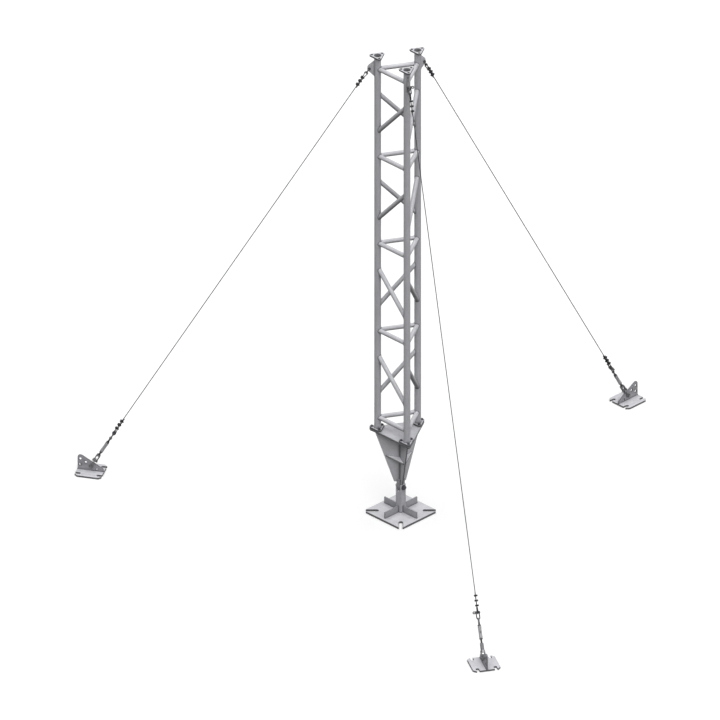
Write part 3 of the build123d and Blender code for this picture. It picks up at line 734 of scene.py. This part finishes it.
def make_flange_bolts():
    """Hexagon bolts from below, each with two washers and a nut on the flange."""
    low_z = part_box("cone_top_plate")[0].z
    grip = section_low_z + flange_thickness - low_z
    flat_ring = washer(washer_radius)
    head = hexagon(bolt_head_width, bolt_head_height - washer_thickness)
    nut = hexagon(bolt_head_width, bolt_nut_height - washer_thickness)
    tip = grip + bolt_nut_height + bolt_overhang
    bolt = joined([
        raised(head, -bolt_head_height),
        raised(flat_ring, -washer_thickness),
        lathe([(bolt_radius, -washer_thickness), (bolt_radius, grip)]),
        raised(flat_ring, grip),
        raised(nut, grip + washer_thickness),
        threaded(bolt_radius, grip + washer_thickness, tip, bolt_pitch),
    ])
    bolts = [shifted(bolt, leg_circle + place.x, place.y, low_z) for place in bolt_places()]
    piece("flange_bolt_set", on_every_leg(bolts), bolt_zinc, ["flange_bolts"])


def make_cone():
    for name in leg_names:
        piece(f"fin_{name}", softened(f"cone_fin_{name}"), upright_zinc, [f"cone_fin_{name}"])
    piece("gussets", softened("cone_gussets"), painted_light_zinc, ["cone_gussets"])
    fin_low, fin_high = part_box("cone_fin_a")
    gusset_low, gusset_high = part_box("cone_gussets")
    tongue_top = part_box("pivot_tongue")[1].z
    half = (fin_high.x - fin_low.x) / 2
    inner = half / tan(pi / 3)
    beads = []
    for side in (-half, half):
        beads.append(weld_line((inner + half, side, fin_high.z), (fin_high.y, side, fin_high.z)))
        for z in (gusset_low.z, gusset_high.z):
            beads.append(weld_line((inner + half, side, z), (gusset_high.y - half, side, z)))
    beads.append(weld_line((inner, half, tongue_top), (inner, half, fin_high.z)))
    piece("cone_welds", on_every_leg(beads), plate_zinc)


def make_foot():
    low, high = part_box("foot_plate")
    slot_half = foot_slot_width / 2
    slot_end = foot_slot_reach + slot_half
    mouth = high.x * sqrt(2) - slot_half
    bend = arc((slot_end, 0), slot_half, -90, -270, 16)
    outline = fanned([(mouth, -slot_half), *bend, (mouth, slot_half)], 45, 135, 225, 315)
    thickness = high.z - low.z
    steel_plate = raised(plate(outline, [], thickness, CUT_EDGE), thickness / 2)
    piece("foot_plate_steel", steel_plate, level_zinc, ["foot_plate"])
    piece("foot_rib_bars", softened("foot_ribs"), bar_zinc, ["foot_ribs"])
    piece("foot_post_tube", softened("foot_post"), post_zinc, ["foot_post"])
    piece("pivot_tongue_bar", softened("pivot_tongue"), bar_zinc, ["pivot_tongue"])
    square = fanned([(post_inner_half, post_inner_half)], 180, 270, 0, 90)
    cap = raised(plate(square, [], post_cap_thickness), post_shoulder_z - post_cap_thickness / 2)
    piece("post_cap", cap, painted_light_zinc)
    rib_low, rib_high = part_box("foot_ribs")
    post_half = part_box("foot_post")[1].x
    foot_z, rib_end = rib_low.z, rib_high.x
    half = rib_half_thickness
    beads = []
    for y in (-half, half):
        corner = (post_half, y, foot_z)
        beads.append(weld_line(corner, (rib_end, y, foot_z)))
        beads.append(weld_line(corner, (post_half, y, rib_high.z)))
        beads.append(weld_line(corner, (post_half, y * post_half / half, foot_z)))
    beads.append(weld_line((rib_end, -half, foot_z), (rib_end, half, foot_z)))
    piece("foot_welds", joined([turned(90 * side, bead) for side in range(4) for bead in beads]), weld_zinc)


def make_pivot_bolt():
    """Bolt along X through the post's ears and the cone's tongue, with washers."""
    low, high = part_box("pivot_bolt")
    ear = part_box("foot_post")[1].x
    flat_ring = washer(pivot_washer_radius, 32)
    bolt = joined([
        raised(hexagon(pivot_head_width, -ear - low.x - washer_thickness), low.x),
        raised(flat_ring, -ear - washer_thickness),
        lathe([(pivot_bolt_radius, -ear), (pivot_bolt_radius, ear)]),
        raised(flat_ring, ear),
        raised(hexagon(pivot_head_width, pivot_nut_height - washer_thickness), ear + washer_thickness),
        threaded(pivot_bolt_radius, ear + washer_thickness, high.x, pivot_bolt_pitch, 20),
    ])
    piece("pivot_bolt_set", raised(along_x(bolt), (low.z + high.z) / 2), bolt_zinc, ["pivot_bolt"])


# ---- Guy lugs and anchors
def cropped(corners, which, size):
    """An outline with some of its corners cut off, a size along each side."""
    points = []
    for n, corner in enumerate(corners):
        if n not in which:
            points.append(corner)
            continue
        for neighbour in (corners[n - 1], corners[(n + 1) % len(corners)]):
            points.append(corner + (neighbour - corner).normalized() * size)
    return points


def make_lugs():
    low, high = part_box("guy_lugs")
    tip = lug_pin_radius + lug_edge
    slack = lug_hole_radius - rope_shackle["pin"] / 2 - seat_gap
    hole_at = (lug_pin_radius - slack * cos(guy_slope), lug_pin_z + slack * sin(guy_slope))
    leg_face = leg_circle + leg_radius
    root = leg_face - 2 * MM
    corners = [
        (root, low.z), (leg_face, low.z), (tip, lug_pin_z - lug_tip_below),
        (tip, lug_pin_z + lug_tip_above), (leg_face, high.z), (root, high.z),
    ]
    outline = cropped([Vector(corner) for corner in corners], (2, 3), lug_corner)
    lug = upright(plate(outline, [hole(hole_at, lug_hole_radius, 24)], lug_thickness))
    piece("guy_lug_plates", on_every_leg([lug]), upright_zinc, ["guy_lugs"])
    sides = (-lug_thickness / 2, lug_thickness / 2)
    beads = [weld_line((leg_face, y, low.z), (leg_face, y, high.z)) for y in sides]
    piece("lug_welds", on_every_leg(beads), weld_zinc)


def anchor_outline():
    half_x = anchor_plate_half_length
    half_y = anchor_plate_half_width
    chamfer = anchor_plate_chamfer
    radius = anchor_slot_width / 2
    slot_end = half_x - anchor_slot_length + radius
    side = [(half_x, chamfer - half_y)]
    for y in (-anchor_slot_spacing / 2, anchor_slot_spacing / 2):
        side += [(half_x, y - radius), *arc((slot_end, y), radius, -90, -270, 16), (half_x, y + radius)]
    side += [(half_x, half_y - chamfer), (half_x - chamfer, half_y), (chamfer - half_x, half_y)]
    return fanned(side, 0, 180)


def anchor_fin_outline(thickness):
    """Upright fin with a sloping top edge, round corners and a row of shackle holes."""
    inner, outer = -anchor_fin_inner, anchor_fin_outer

    def edge_z(offset):
        return anchor_pin_height + offset / tan(guy_slope) + anchor_fin_margin / sin(guy_slope)

    def rounded(corner, before, after, radius):
        """Points of the arc that rounds a corner between two straight sides."""
        back = (before - corner).normalized()
        ahead = (after - corner).normalized()
        half = back.angle(ahead) / 2
        centre = corner + (back + ahead).normalized() * (radius / sin(half))
        start, end = (atan2(*(corner + ray * radius / tan(half) - centre).yx) for ray in (back, ahead))
        sweep = (end - start + pi) % (2 * pi) - pi
        return arc(centre, radius, degrees(start), degrees(start + sweep), 8)

    base_in, base_out = Vector((inner, thickness)), Vector((outer, thickness))
    top_out, top_in = Vector((outer, edge_z(outer))), Vector((inner, edge_z(inner)))
    outline = [base_in, base_out]
    outline += rounded(top_out, base_out, top_in, anchor_fin_outer_corner)
    outline += rounded(top_in, top_out, base_in, anchor_fin_inner_corner)
    slack = anchor_hole_radius - anchor_shackle["pin"] / 2 - seat_gap
    first = Vector((slack * cos(guy_slope), anchor_pin_height - slack * sin(guy_slope)))
    step = Vector((anchor_hole_pitch * sin(guy_slope), anchor_hole_pitch * cos(guy_slope)))
    centres = [first + step * n for n in (-1, 0, 1, 2)]
    centres.append(centres[-1] - Vector((0, anchor_hole_pitch)))
    return outline, [hole(centre, anchor_hole_radius, 32) for centre in centres]


def make_anchors():
    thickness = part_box("anchor_plate_a")[1].z
    ground = plate(anchor_outline(), [], thickness, CUT_EDGE)
    ground = shifted(ground, anchor_pin_radius + anchor_plate_offset, 0, thickness / 2)
    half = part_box("anchor_fin_a")[1].x
    outline, holes = anchor_fin_outline(thickness)
    fin = shifted(upright(plate(outline, holes, 2 * half, CUT_EDGE)), anchor_pin_radius)
    ends = [anchor_pin_radius + corner.x for corner in outline[:2]]
    lines = [[(x, y, thickness) for x in ends] for y in (-half, half)]
    lines += [[(x, y, thickness) for y in (-half, half)] for x in ends]
    seams = [weld_line(*line, anchor_bead) for line in lines]
    for name, angle in zip(leg_names, leg_angles):
        piece(f"anchor_ground_{name}", turned(angle, ground), level_zinc, [f"anchor_plate_{name}"])
        piece(f"anchor_upright_{name}", turned(angle, fin), fin_zinc, [f"anchor_fin_{name}"])
    piece("anchor_welds", on_every_leg(seams), weld_zinc)


# ---- Guy hardware
def shackle_bow(wire, gap, length, pin, eye):
    """D shackle along +Z: two forged eyes on the pin's axis and a round crown."""
    side = (gap + wire) / 2
    straight = length - side
    path = [Vector((0, -side, straight * n / 4)) for n in range(1, 4)]
    path += [Vector((0, p.x, p.y)) for p in arc((0, straight), side, 180, 0, 20)]
    path += [Vector((0, side, straight * n / 4)) for n in (3, 2, 1)]
    boss = along_y(ring(pin / 2 + bore_clearance, eye, wire + 2 * shackle_eye_swell, 1.2 * MM))
    return joined([swept(path, wire / 2, 16)] + [shifted(boss, 0, face * side) for face in (-1, 1)])


def shackle_pin(shackle, head, head_side=1, eyes=()):
    """Pin along Y with a threaded end. Its head is a profile of (radius, height) past the bow."""
    radius = shackle["pin"] / 2
    face = shackle["gap"] / 2 + shackle["wire"] + shackle_eye_swell
    profile = [(radius, -face), (radius, face)] + [(size, face + height) for size, height in head]
    end = threaded(radius, -face - pin_head_margin, -face, pin_pitch)
    parts = [along_y(lathe(profile)), along_y(end)] + [shifted(eye, 0, face) for eye in eyes]
    return placed(Matrix.Rotation(0 if head_side > 0 else pi, 4, "Z"), joined(parts))


def eye_pin(shackle, head_side):
    """Screw pin with a collar and a flat eye for a bar at its head."""
    collar = shackle["pin"] / 2 + pin_collar_margin
    eye = along_x(ring(pin_eye_hole, pin_eye_radius, pin_eye_thickness, 1.5 * MM))
    eye = shifted(eye, 0, pin_collar_height + pin_eye_reach)
    return shackle_pin(shackle, [(collar, 0), (collar, pin_collar_height)], head_side, [eye])


def headed_pin(shackle):
    """Pin with a chamfered round head."""
    head = shackle["pin"] / 2 + pin_head_margin
    chamfer = 1 * MM
    profile = [(head - chamfer, 0), (head, chamfer)]
    return shackle_pin(shackle, mirrored(profile, pin_head_height / 2))


def thimble_centres():
    """Heights at which the rope's loops lie, settled on a pin below and on a crown above."""
    room = thimble_inner_radius - seat_gap
    reach = rope_shackle["length"]
    lower = upper_shackle_crown + reach + room - rope_shackle["pin"] / 2
    upper = guy_length - reach - room + rope_shackle["wire"] / 2 + crown_sag(thimble_width)
    return lower, upper


def crown_sag(width):
    """How far the edges of a flat piece of a width stand off the crown of a rope shackle."""
    half_gap = rope_shackle["gap"] / 2
    return half_gap - sqrt(half_gap ** 2 - (width / 2) ** 2)


def rope_path():
    """Centre line of a rope: tail, loop, the long straight strand, loop and tail."""
    low_z, high_z = thimble_centres()
    end = first_clip_offset + (clip_count - 1) * clip_pitch + tail_length
    loop = [Vector((-strand_offset, end)), Vector((-strand_offset, loop_end))]
    loop += arc((0, 0), loop_radius, 180 - loop_lean, 360 + loop_lean, 24)
    loop.append(Vector((strand_offset, loop_end)))
    points = [Vector((p.x, 0, low_z + p.y)) for p in loop]
    return points + [Vector((p.x, 0, high_z - p.y)) for p in reversed(loop)]


LAY_LENGTH = 42 * MM
ROPE_STEP = 3.5 * MM


def laid_rope(path):
    """Wire rope of six strands: a lobed section that turns once in each lay length."""
    fine = []
    for start, end in zip(path, path[1:]):
        fine += spaced(start, end, ROPE_STEP)[:-1]
    fine.append(path[-1])
    sides = 24
    rings = []
    for point, (u, v), way in zip(fine, path_frames(fine), travelled(fine)):
        twist = 2 * pi * way / LAY_LENGTH
        lobes = []
        for side in range(sides):
            angle = 2 * pi * side / sides
            radius = rope_radius * (0.86 + 0.14 * abs(cos(3 * angle)))
            lobes.append(point + u * radius * cos(angle + twist) + v * radius * sin(angle + twist))
        rings.append(lobes)
    return skin(rings)


def thimble():
    """Teardrop ring with a round groove for the rope, open at its throat."""
    half = thimble_width / 2
    lip_x = strand_offset + thimble_lip
    throat = loop_end - 4 * MM
    path = [Vector((-lip_x, throat))]
    path += arc((0, 0), thimble_inner_radius + thimble_wall, 180 - loop_lean, 360 + loop_lean, 32)
    path.append(Vector((lip_x, throat)))
    groove = [
        (-thimble_wall, half), (thimble_lip, half), (thimble_lip, half - 1 * MM),
        (thimble_lip - 1.5 * MM, half - 1.3 * MM), (0.4 * MM, half * 0.45),
    ]
    section = [(-thimble_wall, -half)] + groove + [(0.0, 0.0)]
    section += [(out, -across) for out, across in reversed(groove[1:])]
    rings = []
    for point, along in zip(path, tangents(path)):
        outward = Vector((along.y, -along.x))
        places = [(point + outward * out, across) for out, across in section]
        rings.append([Vector((place.x, across, place.y)) for place, across in places])
    return skin(rings)


def clip():
    """Rope clip: a U-bolt round both strands, a forged saddle with a bridge, and two nuts."""
    side = rope_radius + 2 * seat_gap + clip_rod_radius
    bridge = clip_saddle_height
    saddle_top = strand_offset + bridge
    bend = [Vector((p.x - strand_offset, p.y, 0)) for p in arc((0, 0), side, 270, 90, 16)]
    bend = [Vector((saddle_top, -side, 0)), *bend, Vector((saddle_top, side, 0))]
    nut = along_x(joined([
        hexagon(clip_nut_width, clip_nut_height),
        threaded(clip_rod_radius, 0, clip_nut_height + clip_rod_overhang, clip_rod_pitch, 12),
    ]))
    nuts = [shifted(nut, saddle_top, face * side) for face in (-1, 1)]
    half_w, half_l = clip_saddle_width / 2, clip_length / 2
    bevel = 1 * MM
    corners = [Vector((bridge, half_w - bevel)), Vector((1.5 * bevel, half_w)), Vector((0, half_w - bevel))]
    profile = corners + arc((0, 0), rope_radius + seat_gap, 90, -90, 10)
    profile += [Vector((corner.x, -corner.y)) for corner in reversed(corners)]
    rings = []
    for z, inset in ((-half_l, bevel), (bevel - half_l, 0.0), (half_l - bevel, 0.0), (half_l, bevel)):
        places = [(min(point.x, bridge - inset), point.y) for point in profile]
        rings.append([Vector((x + strand_offset, y, z)) for x, y in places])
    return joined([swept(bend, clip_rod_radius, 12), skin(rings)] + nuts)


def clip_heights():
    low_z, high_z = thimble_centres()
    steps = [first_clip_offset + n * clip_pitch for n in range(clip_count)]
    return [low_z + step for step in steps] + [high_z - step for step in steps]


# ---- Turnbuckle
def fork():
    """Forked jaw with rounded cheeks, cut from one bar, with the lower screw."""
    slot = jaw_gap / 2
    half = slot + jaw_arm
    cheek_z, shoulder_z = jaw_pin_reach, jaw_top_z - jaw_corner
    corners = [(-half, cheek_z), (-half, shoulder_z), (jaw_corner - half, jaw_top_z)]
    corners += [(-x, z) for x, z in reversed(corners)]
    crotch = arc((0, jaw_crotch_z - slot), slot, 0, 180, 14)
    outline = [*corners, (slot, cheek_z), *crotch, (-slot, cheek_z)]
    yoke = upright(plate(outline[::-1], [], jaw_width))
    cheek = arc((0, 0), jaw_width / 2, 180, 360, 20)
    cheek += [(jaw_width / 2, 2 * MM), (-jaw_width / 2, 2 * MM)]
    facing_x = Matrix(((0, 0, 1, 0), (1, 0, 0, 0), (0, 1, 0, 0), (0, 0, 0, 1)))
    ear = placed(facing_x, plate(cheek, [], jaw_arm))
    ears = [shifted(ear, face * (slot + jaw_arm / 2), 0, cheek_z) for face in (-1, 1)]
    screw = threaded(screw_radius, jaw_top_z - 1 * MM, body_z + screw_engagement, screw_pitch, 20)
    return joined([yoke, screw] + ears)


def jaw_pin():
    """Pin across the jaw with a domed head, a washer and a split pin."""
    face = jaw_gap / 2 + jaw_arm
    radius = jaw_pin_radius
    head = radius + 2 * pin_head_margin
    shaft = lathe([
        (radius - 1 * MM, -face - 5.5 * MM), (radius, -face - 4.5 * MM), (radius, face),
        (head, face), (head, face + 4 * MM), (head - 2 * MM, face + 6 * MM),
    ])
    collar = radius + pin_head_margin
    flat = lathe([(collar, -face - 2 * MM), (collar, -face)])
    split_z = -face - 3.5 * MM
    split = swept([Vector((0, y, split_z)) for y in (-9 * MM, 0.0, 9 * MM)], 1.1 * MM, 8)
    eye = [Vector((0, p.x, p.y)) for p in arc((10.5 * MM, split_z), 2 * MM, 0, 345, 15)]
    pin = joined([shaft, flat, split, swept(eye, 0.9 * MM, 6, True)])
    return raised(along_x(pin), jaw_pin_reach)


def turnbuckle_body():
    """Tubular body with chamfered ends and a tommy-bar hole in the wall that faces out."""
    middle = body_length / 2
    waist = body_radius - body_waist_depth
    profile = mirrored([
        (screw_radius + bore_clearance, 0), (body_radius - body_chamfer, 0), (body_radius, body_chamfer),
        (body_radius, body_collar), (waist, body_collar + body_chamfer),
    ], middle)
    bar = lathe([(tommy_hole_radius, 0), (tommy_hole_radius, 2 * body_radius)], 28)
    return raised(drilled(lathe(profile, 40, closed=True), raised(along_x(bar), middle)), body_z)


def drilled(part, cutter):
    """One mesh with another cut out of it."""
    kept, bit = made("kept", part), made("bit", cutter)
    modifier = kept.modifiers.new("cut", "BOOLEAN")
    modifier.operation = "DIFFERENCE"
    modifier.object = bit
    modifier.solver = "EXACT"
    result = final_mesh(kept)
    bpy.data.objects.remove(bit)
    return result


def rod_eye():
    """Forged eye on the upper screw, hooked round the rope shackle's crown."""
    half = rod_eye_thickness / 2
    inner = rod_eye_hole / 2
    outer = inner + rod_eye_rim
    z = upper_shackle_crown - (inner - rope_shackle["wire"] / 2 - crown_sag(rod_eye_thickness) - seat_gap)
    profile = mirrored([
        (inner, 2 * MM - half), (inner + 1.5 * MM, -half), (outer - 2 * MM, -half), (outer, 2.5 * MM - half),
    ])
    eye = raised(along_y(lathe(profile, 36, closed=True)), z)
    neck_top = z - outer + 1.5 * MM
    waist = (screw_radius * 0.95, neck_top - 8 * MM)
    neck = lathe([(screw_radius, neck_top - 14 * MM), waist, (screw_radius, neck_top)])
    screw_z = body_z + body_length - screw_engagement
    return joined([eye, neck, threaded(screw_radius, screw_z, neck_top - 12 * MM, screw_pitch, 20)])


def lock_nuts():
    nut = hexagon(lock_nut_width, lock_nut_height)
    return [raised(nut, lower_nut_z), raised(nut, body_z + body_length + seat_gap)]


def make_guys():
    low_z, high_z = thimble_centres()
    rope_pin_z = upper_shackle_crown + rope_shackle["length"]
    over = Matrix.Rotation(pi, 4, "X")
    rope_bow = placed(over, shackle_bow(**rope_shackle))
    rope_bows = [raised(rope_bow, rope_pin_z), raised(rope_bow, guy_length)]
    rope_pins = [raised(eye_pin(rope_shackle, -1), rope_pin_z), raised(eye_pin(rope_shackle, 1), guy_length)]
    drop, grip = thimble(), clip()
    thimbles = [raised(drop, low_z), raised(placed(over, drop), high_z)]
    for name, parts, material, replaces in (
        ("rope_bow_set", rope_bows, shackle_zinc, ["shackle_bows"]),
        ("anchor_bow_set", [shackle_bow(**anchor_shackle)], anchor_zinc, []),
        ("rope_pin_set", rope_pins, pin_zinc, ["shackle_pins"]),
        ("anchor_pin_set", [headed_pin(anchor_shackle)], anchor_zinc, []),
        ("thimble_set", thimbles, shackle_zinc, ["thimbles"]),
        ("rope_clip_set", [raised(grip, z) for z in clip_heights()], clip_zinc, ["rope_clips"]),
        ("turnbuckle_jaw_set", [fork()], jaw_zinc, ["turnbuckle_jaws"]),
        ("turnbuckle_pin_set", [jaw_pin()], body_zinc, ["turnbuckle_jaw_pins"]),
        ("turnbuckle_eye_set", [rod_eye()], anchor_zinc, ["turnbuckle_rod_eyes"]),
        ("turnbuckle_nut_set", lock_nuts(), pin_zinc, ["turnbuckle_lock_nuts"]),
    ):
        piece(name, on_every_guy(parts), material, replaces)
    rope, body = laid_rope(rope_path()), turnbuckle_body()
    for name, angle in zip(leg_names, leg_angles):
        piece(f"laid_rope_{name}", on_guy(angle, rope), rope_zinc, [f"guy_rope_{name}"])
        piece(f"buckle_body_{name}", on_guy(angle, body), body_zinc, [f"turnbuckle_body_{name}"])


# ---- Setting
def backdrop(tree, shader, output, lighting, shown):
    """Two levels of one shader: one lights the mast, the other shows to camera and reflections."""
    tree.nodes.clear()
    rays = tree.nodes.new("ShaderNodeLightPath")
    seen = rays.outputs["Is Camera Ray"]
    for name in ("Is Glossy Ray", "Is Transmission Ray"):
        larger = tree.nodes.new("ShaderNodeMath")
        larger.operation = "MAXIMUM"
        tree.links.new(seen, larger.inputs[0])
        tree.links.new(rays.outputs[name], larger.inputs[1])
        seen = larger.outputs[0]
    mixed = tree.nodes.new("ShaderNodeMixShader")
    tree.links.new(seen, mixed.inputs[0])
    for socket, level in ((1, lighting), (2, shown)):
        surface = tree.nodes.new(shader)
        surface.inputs["Color"].default_value = (level, level, level, 1)
        tree.links.new(surface.outputs[0], mixed.inputs[socket])
    tree.links.new(mixed.outputs[0], tree.nodes.new(output).inputs["Surface"])


def make_floor(bounced=0.03, shown=0.77, reach=30.0):
    mesh = bpy.data.meshes.new("floor")
    z = GROUND_LEVEL - 0.5 * MM
    corners = [(reach * x, reach * y, z) for x, y in ((-1, -1), (1, -1), (1, 1), (-1, 1))]
    mesh.from_pydata(corners, [], [[0, 1, 2, 3]])
    material = bpy.data.materials.new("pale_floor")
    material.use_nodes = True
    backdrop(material.node_tree, "ShaderNodeBsdfDiffuse", "ShaderNodeOutputMaterial", bounced, shown)
    mesh.materials.append(material)
    floor = added("floor", mesh)


def make_world(ambient=0.05, shown=1.0):
    world = bpy.data.worlds.new("studio")
    bpy.context.scene.world = world
    world.use_nodes = True
    backdrop(world.node_tree, "ShaderNodeBackground", "ShaderNodeOutputWorld", ambient, shown)


def make_light(name, towards, strength, softness):
    """Distant soft light from a direction in the mast's own axes."""
    lamp = bpy.data.lights.new(name, "SUN")
    lamp.energy = strength
    lamp.angle = radians(softness)
    light = added(name, lamp)
    light.rotation_euler = Vector(towards).to_track_quat("Z", "Y").to_euler()


def make_camera():
    """Parallel projection from a corner of the mast's plan, looking down by about a third."""
    azimuth, elevation = radians(45), radians(29.5)
    across = Vector((cos(azimuth), sin(azimuth), 0))
    back = Vector((sin(azimuth) * cos(elevation), -cos(azimuth) * cos(elevation), sin(elevation)))
    up = back.cross(across)
    aim = across * -0.2854 + up * 1.0658
    lens = bpy.data.cameras.new("camera")
    lens.type = "ORTHO"
    lens.ortho_scale = 5.04
    lens.clip_end = 100
    camera = added("camera", lens)
    camera.matrix_world = Matrix((across, up, back)).transposed().to_4x4()
    camera.location = aim + back * 12
    bpy.context.scene.camera = camera


make_bracing()
make_flanges()
make_cone_top()
make_flange_bolts()
make_cone()
make_foot()
make_pivot_bolt()
make_lugs()
make_anchors()
make_guys()
for leg in leg_names:
    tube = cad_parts[f"leg_{leg}"]
    tube.data.materials.clear()
    tube.data.materials.append(tube_zinc)

make_floor()
make_world()
make_light("overhead", (0.08, -0.06, 1.35), 4.0, 100)
make_light("front", (0.90, -0.43, 0.44), 0.95, 40)
make_camera()
bpy.context.scene.view_settings.view_transform = "Standard"
